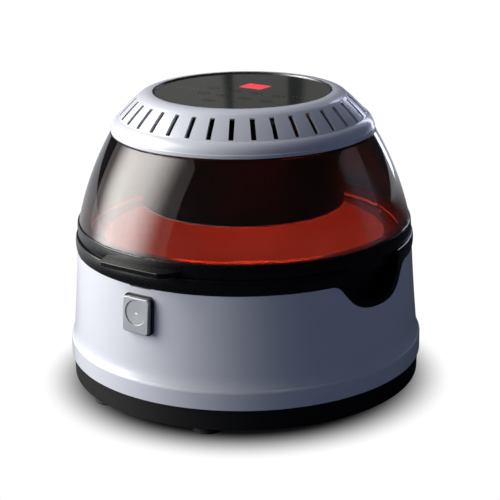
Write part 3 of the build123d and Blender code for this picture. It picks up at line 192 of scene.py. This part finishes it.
def addFloor(look):
    # Pale paper, white to the camera but for a painted contact shadow, and dim in reflections and through the
    # visor
    bpy.ops.mesh.primitive_plane_add(size=2 * look["halfSizeM"], location=(0, 0, -look["belowM"]))
    floor = bpy.context.object
    floor.name = "floor"
    paper = bpy.data.materials.new("paleFloorPaper")
    paper.use_nodes = True
    tree = paper.node_tree
    tree.nodes.clear()
    path = addNode(tree, "ShaderNodeLightPath")
    place = addNode(tree, "ShaderNodeTexCoord")
    away = addNode(tree, "ShaderNodeVectorMath", {
        0: (place, "Object"), 1: fromCamera(0, look["shadeForwardM"], 0)}, operation="DISTANCE")
    pale = addNode(tree, "ShaderNodeMapRange", {
        "Value": (away, "Value"), "From Min": look["darkM"], "From Max": look["whiteM"],
        "To Min": look["darkest"], "To Max": look["whitest"]}, interpolation_type="SMOOTHSTEP")
    seen = addNode(tree, "ShaderNodeEmission", {"Color": srgb("#ffffff"), "Strength": (pale, "Result")})
    bounce = addNode(tree, "ShaderNodeBsdfDiffuse", {"Color": srgb(look["bounce"])})
    beside = addNode(tree, "ShaderNodeVectorMath", {
        0: (place, "Object"), 1: fromCamera(look["farBearing"], 1, 0)}, operation="DOT_PRODUCT")
    far = addNode(tree, "ShaderNodeMapRange", {
        "Value": (beside, "Value"), "From Min": look["farFromM"], "From Max": look["farToM"],
        "To Max": look["farGlow"]}, interpolation_type="SMOOTHSTEP")
    farPaper = addNode(tree, "ShaderNodeEmission", {
        "Color": srgb(look["farColour"]), "Strength": (far, "Result")})
    nearPaper = addNode(tree, "ShaderNodeBsdfDiffuse", {"Color": srgb(look["mirrored"])})
    mirrored = addNode(tree, "ShaderNodeAddShader", {0: (nearPaper, "BSDF"), 1: (farPaper, "Emission")})
    lit = addNode(tree, "ShaderNodeMixShader", {
        0: (path, "Is Glossy Ray"), 1: (bounce, "BSDF"), 2: (mirrored, "Shader")})
    dark = addNode(tree, "ShaderNodeEmission", {"Color": srgb(smokeTone), "Strength": look["throughGlass"]})
    other = addNode(tree, "ShaderNodeMixShader", {
        0: (path, "Is Transmission Ray"), 1: (lit, "Shader"), 2: (dark, "Emission")})
    mix = addNode(tree, "ShaderNodeMixShader", {
        0: (path, "Is Camera Ray"), 1: (other, "Shader"), 2: (seen, "Emission")})
    addNode(tree, "ShaderNodeOutputMaterial", {"Surface": (mix, "Shader")})
    floor.data.materials.append(paper)


ringGlow = {"across": 0.15, "height": 0.182, "watts": 16.0, "colour": "#ff4020"}


def addHeaterGlow(look):
    # The light that the hot rings throw down into the pot. It turns with the lid
    lamp = bpy.data.objects.new("heaterGlow", bpy.data.lights.new("heaterGlow", "AREA"))
    bpy.context.scene.collection.objects.link(lamp)
    lamp.data.shape = "DISK"
    lamp.data.size = look["across"]
    lamp.data.energy = look["watts"]
    lamp.data.color = srgb(look["colour"])[:3]
    lamp.location = (0, 0, look["height"])
    lamp.visible_camera = False
    lamp.visible_transmission = False
    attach(lamp, "lid")


setCamera(cameraSet)
for boxName, box in softboxes.items():
    addSoftbox(boxName, box)
setWorld(roomLook)
addFloor(paperLook)
addHeaterGlow(ringGlow)
bpy.context.scene.view_settings.view_transform = "Standard"
print("camera, light and floor set")


noiseLow, noiseHigh = 0.3, 0.7    # nearly all of a noise lies between these


def newMaterial(name):
    material = bpy.data.materials.new(name)
    material.use_nodes = True
    material.node_tree.nodes.clear()
    return material, material.node_tree


def finishMaterial(tree, shader, output="BSDF"):
    addNode(tree, "ShaderNodeOutputMaterial", {"Surface": (shader, output)})


def perMetre(sizeMm):
    # A noise scale whose features are about this many millimetres across
    return 1000.0 / sizeMm


def mouldedPlastic(name, look):
    # Injection moulded plastic: spark-eroded grain in the gloss and the bump, and a slow drift of tone
    material, tree = newMaterial(name)
    place = addNode(tree, "ShaderNodeTexCoord")
    grain = addNode(tree, "ShaderNodeTexNoise", {
        "Vector": (place, "Object"), "Scale": perMetre(look["grainMm"]), "Detail": 3.0, "Roughness": 0.6})
    drift = addNode(tree, "ShaderNodeTexNoise", {
        "Vector": (place, "Object"), "Scale": perMetre(look["driftMm"]), "Detail": 2.0})
    tone = addNode(tree, "ShaderNodeMix", {
        0: (drift, "Fac"), 6: srgb(look["darker"]), 7: srgb(look["colour"])}, data_type="RGBA")
    gloss = addNode(tree, "ShaderNodeMapRange", {
        "Value": (grain, "Fac"), "From Min": noiseLow, "From Max": noiseHigh,
        "To Min": look["roughness"] - look["roughSpread"], "To Max": look["roughness"] + look["roughSpread"]})
    bump = addNode(tree, "ShaderNodeBump", {
        "Height": (grain, "Fac"), "Strength": look["bump"], "Distance": look["depthMm"] * mm})
    shader = addNode(tree, "ShaderNodeBsdfPrincipled", {
        "Base Color": (tone, 2), "Roughness": (gloss, "Result"), "Normal": (bump, "Normal"),
        "IOR": look["ior"], "Coat Weight": look.get("coat", 0.0),
        "Coat Roughness": look.get("coatRoughness", 0.1)})
    finishMaterial(tree, shader)
    return material


def enamelWithPaintedLipHighlight(name, look):
    # Black enamelled sheet with a painted highlight: the colour turns pale from the rolled edge's height
    # downwards, standing in for light that the lip catches
    material, tree = newMaterial(name)
    place = addNode(tree, "ShaderNodeTexCoord")
    peel = addNode(tree, "ShaderNodeTexNoise", {
        "Vector": (place, "Object"), "Scale": perMetre(look["peelMm"])})
    height = addNode(tree, "ShaderNodeSeparateXYZ", {0: (place, "Object")})
    lipHighlightFull = look["lipHighlightTopMm"] - look["lipHighlightFadeMm"]
    edge = addNode(tree, "ShaderNodeMapRange", {
        "Value": (height, "Z"), "From Min": look["lipHighlightTopMm"] * mm, "From Max": lipHighlightFull * mm})
    # the pale "edge" colour mixed in below this height is a painted highlight on the lip, not bare metal
    tone = addNode(tree, "ShaderNodeMix", {
        0: (edge, "Result"), 6: srgb(look["colour"]), 7: srgb(look["edge"])}, data_type="RGBA")
    bump = addNode(tree, "ShaderNodeBump", {
        "Height": (peel, "Fac"), "Strength": look["bump"], "Distance": look["depthMm"] * mm})
    shader = addNode(tree, "ShaderNodeBsdfPrincipled", {
        "Base Color": (tone, 2), "Roughness": look["roughness"], "Normal": (bump, "Normal"),
        "IOR": look["ior"]})
    finishMaterial(tree, shader)
    return material


shroudFinish = {
    # black enamel whose lowest 1.8 mm, the rolled edge, is painted pale as a highlight
    "colour": "#1c1b1b", "edge": "#e4e6ea", "peelMm": 2.6, "bump": 0.1, "depthMm": 0.05,
    "roughness": 0.24, "ior": 1.55,
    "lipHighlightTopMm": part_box("heater_shroud")[0][2] / mm + 1.8, "lipHighlightFadeMm": 0.6,
}


plastics = {
    # painted ABS with a fine pearl in a satin lacquer: pale and cool, with soft broad highlights
    "pearlPaintedAbs": {
        "colour": "#d7d8de", "darker": "#d2d3da", "grainMm": 0.9, "driftMm": 90, "roughness": 0.34,
        "roughSpread": 0.03, "bump": 0.05, "depthMm": 0.02, "ior": 1.5, "coat": 0.55, "coatRoughness": 0.12},
    # ABS moulded against a lightly etched tool: near black, with a soft sheen along its edges
    "satinBlackAbs": {
        "colour": "#0a0a0b", "darker": "#080809", "grainMm": 0.7, "driftMm": 70, "roughness": 0.26,
        "roughSpread": 0.04, "bump": 0.12, "depthMm": 0.03, "ior": 1.5},
    # polypropylene with a coarse grain: dull black that scatters what falls on it
    "mattBlackPolypropylene": {
        "colour": "#161617", "darker": "#101011", "grainMm": 1.1, "driftMm": 60, "roughness": 0.55,
        "roughSpread": 0.07, "bump": 0.25, "depthMm": 0.05, "ior": 1.49},
    # nylon: off-white and slightly waxy
    "naturalNylon": {
        "colour": "#d9d6c8", "darker": "#cfccbb", "grainMm": 1.5, "driftMm": 30, "roughness": 0.5,
        "roughSpread": 0.05, "bump": 0.1, "depthMm": 0.03, "ior": 1.53},
    # moulded rubber: black with no clear reflection
    "mouldedRubber": {
        "colour": "#1b1b1b", "darker": "#141414", "grainMm": 1.3, "driftMm": 25, "roughness": 0.72,
        "roughSpread": 0.08, "bump": 0.3, "depthMm": 0.06, "ior": 1.52},
    # silicone: dark grey and faintly waxy
    "siliconeSeal": {
        "colour": "#4a4a4b", "darker": "#3f3f41", "grainMm": 1.2, "driftMm": 30, "roughness": 0.6,
        "roughSpread": 0.05, "bump": 0.15, "depthMm": 0.04, "ior": 1.43},
    # solder mask on a circuit board: green lacquer, uneven over the copper
    "solderMask": {
        "colour": "#1d5a33", "darker": "#17492a", "grainMm": 3.0, "driftMm": 9, "roughness": 0.35,
        "roughSpread": 0.08, "bump": 0.2, "depthMm": 0.05, "ior": 1.55},
    # tempered glass printed black from behind: an olive black with a hard, clear gloss
    "printedPanelGlass": {
        "colour": "#34352a", "darker": "#2d2e24", "grainMm": 14, "driftMm": 60, "roughness": 0.09,
        "roughSpread": 0.02, "bump": 0.02, "depthMm": 0.05, "ior": 1.52, "coat": 0.6, "coatRoughness": 0.03},
    # screen-printed ink on the panel: near black and dull
    "darkPrintInk": {
        "colour": "#16171a", "darker": "#101114", "grainMm": 0.5, "driftMm": 20, "roughness": 0.5,
        "roughSpread": 0.05, "bump": 0.1, "depthMm": 0.01, "ior": 1.45},
    # pale screen-printed ink
    "palePrintInk": {
        "colour": "#8f908c", "darker": "#848581", "grainMm": 0.5, "driftMm": 20, "roughness": 0.5,
        "roughSpread": 0.05, "bump": 0.1, "depthMm": 0.01, "ior": 1.45},
    # black enamel on pressed steel, for heat: smooth with a faint orange peel
    "heatproofEnamel": {
        "colour": "#1c1b1b", "darker": "#151414", "grainMm": 2.6, "driftMm": 40, "roughness": 0.24,
        "roughSpread": 0.04, "bump": 0.1, "depthMm": 0.05, "ior": 1.55},
    # PTFE non-stick coating: dark grey with a silky sheen
    "nonStickCoating": {
        "colour": "#2b2a2b", "darker": "#232224", "grainMm": 0.8, "driftMm": 50, "roughness": 0.38,
        "roughSpread": 0.06, "bump": 0.12, "depthMm": 0.03, "ior": 1.38},
}


lineDepthMm = 0.02


def drawnMetal(name, look):
    # Sheet, wire or plated metal: fine drawing lines stretched along one axis vary the gloss
    material, tree = newMaterial(name)
    place = addNode(tree, "ShaderNodeTexCoord")
    stretch = addNode(tree, "ShaderNodeMapping", {"Vector": (place, "Object"), "Scale": look["stretch"]})
    lines = addNode(tree, "ShaderNodeTexNoise", {
        "Vector": (stretch, "Vector"), "Scale": perMetre(look["lineMm"]), "Detail": 2.0})
    tone = addNode(tree, "ShaderNodeMix", {
        0: (lines, "Fac"), 6: srgb(look["darker"]), 7: srgb(look["colour"])}, data_type="RGBA")
    gloss = addNode(tree, "ShaderNodeMapRange", {
        "Value": (lines, "Fac"), "From Min": noiseLow, "From Max": noiseHigh,
        "To Min": look["roughness"] - look["roughSpread"], "To Max": look["roughness"] + look["roughSpread"]})
    bump = addNode(tree, "ShaderNodeBump", {
        "Height": (lines, "Fac"), "Strength": look["bump"], "Distance": lineDepthMm * mm})
    shader = addNode(tree, "ShaderNodeBsdfPrincipled", {
        "Base Color": (tone, 2), "Metallic": look["metallic"], "Roughness": (gloss, "Result"),
        "Normal": (bump, "Normal")})
    finishMaterial(tree, shader)
    return material


metals = {
    # zinc plated steel: pale blue-grey with a soft gloss
    "zincPlatedSteel": {
        "colour": "#c2c4c6", "darker": "#a9acb0", "lineMm": 1.2, "stretch": (1, 1, 1), "roughness": 0.3,
        "roughSpread": 0.07, "bump": 0.08, "metallic": 1.0},
    # aluminised sheet: pale and slightly spangled
    "aluminisedSheet": {
        "colour": "#b9babb", "darker": "#9fa1a3", "lineMm": 4.0, "stretch": (1, 1, 0.2), "roughness": 0.36,
        "roughSpread": 0.08, "bump": 0.1, "metallic": 1.0},
    # chromed wire: bright and clear
    "chromedWire": {
        "colour": "#d8d9db", "darker": "#c6c8cb", "lineMm": 1.0, "stretch": (1, 1, 1), "roughness": 0.12,
        "roughSpread": 0.03, "bump": 0.03, "metallic": 1.0},
    # anodised aluminium trim, brushed round: a thin grey line with a soft glint
    "brushedAnodisedTrim": {
        "colour": "#b4b7ba", "darker": "#8d9093", "lineMm": 0.8, "stretch": (1, 1, 6), "roughness": 0.3,
        "roughSpread": 0.06, "bump": 0.08, "metallic": 1.0},
    # ABS with a vacuum metallised satin lacquer: silver that stays soft
    "satinMetallisedAbs": {
        "colour": "#bfc1c5", "darker": "#b6b9bd", "lineMm": 0.9, "stretch": (1, 1, 1), "roughness": 0.36,
        "roughSpread": 0.03, "bump": 0.05, "metallic": 0.6},
    # enamelled copper winding: warm brown-red strands
    "copperWinding": {
        "colour": "#b8703c", "darker": "#7c431f", "lineMm": 0.9, "stretch": (1, 1, 8), "roughness": 0.35,
        "roughSpread": 0.1, "bump": 0.5, "metallic": 1.0},
    # nickel plate: warm and bright
    "nickelPlate": {
        "colour": "#c9c4b8", "darker": "#b4afa4", "lineMm": 1.5, "stretch": (1, 1, 1), "roughness": 0.22,
        "roughSpread": 0.05, "bump": 0.05, "metallic": 1.0},
}


def smokedPolycarbonate(name, look):
    # Clear polycarbonate tinted in the mass, with hard reflections and a thin veil that scatters light
    material, tree = newMaterial(name)
    place = addNode(tree, "ShaderNodeTexCoord")
    mist = addNode(tree, "ShaderNodeTexNoise", {
        "Vector": (place, "Object"), "Scale": perMetre(look["mistMm"]), "Detail": 3.0})
    patches = addNode(tree, "ShaderNodeMapRange", {
        "Value": (mist, "Fac"), "From Min": noiseLow, "From Max": noiseHigh,
        "To Min": look["veilLow"], "To Max": look["veilHigh"]})
    height = addNode(tree, "ShaderNodeSeparateXYZ", {0: (place, "Object")})
    low = addNode(tree, "ShaderNodeMapRange", {
        "Value": (height, "Z"), "From Min": look["mistTopMm"] * mm, "From Max": look["mistLowMm"] * mm,
        "To Min": look["aboveMist"]}, interpolation_type="SMOOTHSTEP")
    veil = addNode(tree, "ShaderNodeMath", {0: (patches, "Result"), 1: (low, "Result")}, operation="MULTIPLY")
    clear = addNode(tree, "ShaderNodeBsdfPrincipled", {
        "Base Color": srgb(look["tint"]), "Roughness": look["roughness"], "IOR": look["ior"],
        "Transmission Weight": 1.0})
    scatter = addNode(tree, "ShaderNodeBsdfTranslucent", {"Color": srgb(look["mist"])})
    body = addNode(tree, "ShaderNodeMixShader", {
        0: (veil, "Value"), 1: (clear, "BSDF"), 2: (scatter, "BSDF")})
    path = addNode(tree, "ShaderNodeLightPath")
    through = addNode(tree, "ShaderNodeBsdfTransparent", {"Color": srgb(look["tint"])})
    mix = addNode(tree, "ShaderNodeMixShader", {
        0: (path, "Is Shadow Ray"), 1: (body, "Shader"), 2: (through, "BSDF")})
    finishMaterial(tree, mix, "Shader")
    return material


smoke = {
    "tint": "#ada5a1", "roughness": 0.01, "ior": 1.53,
    # the veil, in patches between two strengths: full below one height and faint above another
    "mist": "#ccd0d6", "mistMm": 40, "veilLow": 0.04, "veilHigh": 0.08,
    "mistTopMm": 192, "mistLowMm": 166, "aboveMist": 0.05,
}


def glowingElement(name, look):
    # Steel-sheathed heater at work: oxidised tube that glows orange, unevenly along its length
    material, tree = newMaterial(name)
    place = addNode(tree, "ShaderNodeTexCoord")
    patches = addNode(tree, "ShaderNodeTexNoise", {
        "Vector": (place, "Object"), "Scale": perMetre(look["patchMm"]), "Detail": 2.0})
    heat = addNode(tree, "ShaderNodeMix", {
        0: (patches, "Fac"), 6: srgb(look["cooler"]), 7: srgb(look["hotter"])}, data_type="RGBA")
    shader = addNode(tree, "ShaderNodeBsdfPrincipled", {
        "Base Color": srgb(look["oxide"]), "Metallic": look["metallic"], "Roughness": look["roughness"],
        "Emission Color": (heat, 2), "Emission Strength": look["strength"]})
    finishMaterial(tree, shader)
    return material


heater = {
    "cooler": "#ff3a08", "hotter": "#ff7020", "oxide": "#3a2c26", "metallic": 0.6, "roughness": 0.5,
    "patchMm": 30, "strength": 1.2,
}


def litDisplay(name, look):
    # Red filter over lit segments: an even glow with a soft grain
    material, tree = newMaterial(name)
    place = addNode(tree, "ShaderNodeTexCoord")
    mottle = addNode(tree, "ShaderNodeTexNoise", {
        "Vector": (place, "Object"), "Scale": perMetre(look["mottleMm"])})
    tone = addNode(tree, "ShaderNodeMix", {
        0: (mottle, "Fac"), 6: srgb(look["deeper"]), 7: srgb(look["colour"])}, data_type="RGBA")
    shader = addNode(tree, "ShaderNodeBsdfPrincipled", {
        "Base Color": (tone, 2), "Roughness": look["roughness"],
        "Emission Color": (tone, 2), "Emission Strength": look["glow"]})
    finishMaterial(tree, shader)
    return material


display = {"colour": "#e8404c", "deeper": "#d93040", "roughness": 0.12, "mottleMm": 6, "glow": 0.7}


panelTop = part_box("control_glass")[1][2]
printedMarks = {
    # middle of each touch key on the panel, in millimetres, and the sign in it
    "keys": [
        (-30, -5, "minus"), (-6, -5, "clock"), (19, -5, "drop"), (44, -5, "plus"),
        (-24, -28, "wave"), (-3, -28, "fan"), (22, -28, "bars"), (46, -28, "play"), (0, -52, "power"),
    ],
    "ringW": 12.0, "ringH": 8.0, "ringStroke": 0.84, "proud": 0.06,
    "signHalf": 0.3, "signStroke": 0.672,    # half of a sign's size, as a share of the ring's height
    "ticks": [(x, -16.5) for x in range(-60, -36, 4)] + [(x, 2.0) for x in range(56, 72, 4)],
    "tickHalf": 1.2,
}
signStrokes = {
    # strokes of each sign in its own box from -1 to 1
    "minus": [[(-0.8, 0), (0.8, 0)]],
    "plus": [[(-0.8, 0), (0.8, 0)], [(0, -0.8), (0, 0.8)]],
    "clock": [[(0, 0.7), (0, 0), (0.6, -0.3)]],
    "drop": [[(0, 0.9), (0.55, -0.1), (0.3, -0.7), (-0.3, -0.7), (-0.55, -0.1), (0, 0.9)]],
    "wave": [[(-0.9, 0.3), (-0.45, 0.6), (0, 0.3), (0.45, 0), (0.9, 0.3)],
             [(-0.9, -0.5), (-0.45, -0.2), (0, -0.5), (0.45, -0.8), (0.9, -0.5)]],
    "fan": [[(0, 0), (0.2, 0.8), (0.7, 0.6), (0, 0)], [(0, 0), (0.6, -0.6), (0.1, -0.9), (0, 0)],
            [(0, 0), (-0.8, -0.2), (-0.8, 0.4), (0, 0)]],
    "bars": [[(-0.6, -0.7), (-0.6, 0)], [(0, -0.7), (0, 0.4)], [(0.6, -0.7), (0.6, 0.8)]],
    "play": [[(-0.5, -0.7), (0.7, 0), (-0.5, 0.7), (-0.5, -0.7)]],
    "power": [[(0, 0.1), (0, 0.9)],
              [(-0.4, 0.6), (-0.8, 0), (-0.5, -0.7), (0, -0.9), (0.5, -0.7), (0.8, 0), (0.4, 0.6)]],
}


def addStrokes(name, lines, width, proud, finish):
    # Flat strokes on the panel, as printed ink has a body: a bevelled curve, made a mesh and pressed flat
    curve = bpy.data.curves.new(name, "CURVE")
    curve.dimensions = "3D"
    curve.bevel_depth = width / 2 * mm
    curve.bevel_resolution = 2
    curve.use_fill_caps = True
    for line in lines:
        spline = curve.splines.new("POLY")
        spline.points.add(len(line) - 1)
        for point, (x, y) in zip(spline.points, line):
            point.co = (x * mm, y * mm, 0, 1)
    drawn = bpy.data.objects.new(name, curve)
    bpy.context.scene.collection.objects.link(drawn)
    bpy.ops.object.select_all(action="DESELECT")
    drawn.select_set(True)
    bpy.context.view_layer.objects.active = drawn
    bpy.ops.object.convert(target="MESH")
    strokes = bpy.context.object
    strokes.scale = (1, 1, proud / (width / 2))
    strokes.location = (0, 0, panelTop)
    bpy.ops.object.transform_apply(location=True, rotation=False, scale=True)
    strokes.data.materials.clear()
    strokes.data.materials.append(finish)
    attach(strokes, "lid")


def ovalLine(x, y, width, height, count=40):
    turns = [2 * pi * i / count for i in range(count + 1)]
    return [(x + width / 2 * cos(turn), y + height / 2 * sin(turn)) for turn in turns]


def addPanelMarks(look, ink, paleInk):
    rings = [ovalLine(x, y, look["ringW"], look["ringH"]) for x, y, sign in look["keys"]]
    half = look["ringH"] * look["signHalf"]
    signs = [
        [(x + u * half, y + v * half) for u, v in stroke]
        for x, y, sign in look["keys"] for stroke in signStrokes[sign]]
    ticks = [[(x, y - look["tickHalf"]), (x, y + look["tickHalf"])] for x, y in look["ticks"]]
    addStrokes("touchKeyRings", rings, look["ringStroke"], look["proud"], ink)
    addStrokes("touchKeySigns", signs, look["signStroke"], look["proud"], ink)
    addStrokes("levelTicks", ticks, look["signStroke"], look["proud"], paleInk)


displayWindow = {"middle": (0, 21), "wide": 25.0, "deep": 18.6, "proud": 0.12, "cornerMm": 1.2}


def addDisplayWindow(look, finish):
    # The lit window stands a hair above the glass, with rounded corners
    bpy.ops.object.select_all(action="DESELECT")
    x, y = look["middle"]
    bpy.ops.mesh.primitive_cube_add(size=1, location=(x * mm, y * mm, panelTop))
    window = bpy.context.object
    window.name = "displayWindow"
    window.scale = (look["wide"] * mm, look["deep"] * mm, 2 * look["proud"] * mm)
    bpy.ops.object.transform_apply(location=True, rotation=False, scale=True)
    corners = window.modifiers.new("corners", "BEVEL")
    corners.width = look["cornerMm"] * mm
    corners.segments = 5
    corners.limit_method = "WEIGHT"
    weights = window.data.attributes.new("bevel_weight_edge", "FLOAT", "EDGE")
    for edge in window.data.edges:
        low, high = (window.data.vertices[i].co.z for i in edge.vertices)
        weights.data[edge.index].value = 1.0 if abs(high - low) > 0.5 * look["proud"] * mm else 0.0
    bpy.ops.object.modifier_apply(modifier=corners.name)
    window.data.materials.append(finish)
    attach(window, "lid")


finishes = {name: mouldedPlastic(name, look) for name, look in plastics.items()}
finishes.update({name: drawnMetal(name, look) for name, look in metals.items()})
finishes["smokedPolycarbonate"] = smokedPolycarbonate("smokedPolycarbonate", smoke)
finishes["hotHeaterSheath"] = glowingElement("hotHeaterSheath", heater)
finishes["enamelWithPaintedLipHighlight"] = enamelWithPaintedLipHighlight("enamelWithPaintedLipHighlight", shroudFinish)
finishes["litRedFilter"] = litDisplay("litRedFilter", display)
addPanelMarks(printedMarks, finishes["darkPrintInk"], finishes["palePrintInk"])
addDisplayWindow(displayWindow, finishes["litRedFilter"])
print("panel window and marks made")

nodeFinish = {
    "pearlPaintedAbs": ["outer_shell", "top_cap"],
    "satinBlackAbs": [
        "base_rim", "button_bezel", "lid_ring", "visor_trim", "hinge_bracket", "lid_hinge_bracket"],
    "mattBlackPolypropylene": [
        "base_pan", "grip_cup_right", "grip_cup_left", "latch_housing", "cap_base", "cooling_fan",
        "lid_switch"],
    "smokedPolycarbonate": ["visor"],
    "satinMetallisedAbs": ["release_button"],
    "printedPanelGlass": ["control_glass"],
    "brushedAnodisedTrim": ["panel_bezel"],
    "enamelWithPaintedLipHighlight": ["heater_shroud"],
    "heatproofEnamel": ["motor_housing"],
    "nonStickCoating": ["cooking_pot"],
    "aluminisedSheet": ["inner_liner", "convection_fan"],
    "chromedWire": ["wire_rack"],
    "zincPlatedSteel": [
        "foot_screws", "hinge_screws", "hinge_pin", "hinge_spring", "button_spring", "lid_catch",
        "cap_screws", "fan_guard", "shaft_bearing", "motor_bracket", "motor_shaft"],
    "mouldedRubber": [
        "foot_front_right", "foot_front_left", "foot_rear_right", "foot_rear_left",
        "cable_gland", "inlet_lead"],
    "siliconeSeal": ["lid_seal"],
    "naturalNylon": ["latch_slider", "terminal_block"],
    "solderMask": ["power_board", "control_board"],
    "hotHeaterSheath": ["heating_element_outer", "heating_element_inner"],
    "litRedFilter": ["display_module"],
    "copperWinding": ["motor_rotor"],
    "nickelPlate": ["lid_magnet"],
}

for finishName, nodeNames in nodeFinish.items():
    for nodeName in nodeNames:
        for slot in nodes[nodeName].material_slots:
            slot.material = finishes[finishName]
bare = set(nodes) - {n for names in nodeFinish.values() for n in names}
print("materials set on", len(nodes) - len(bare), "nodes, without one:", sorted(bare))
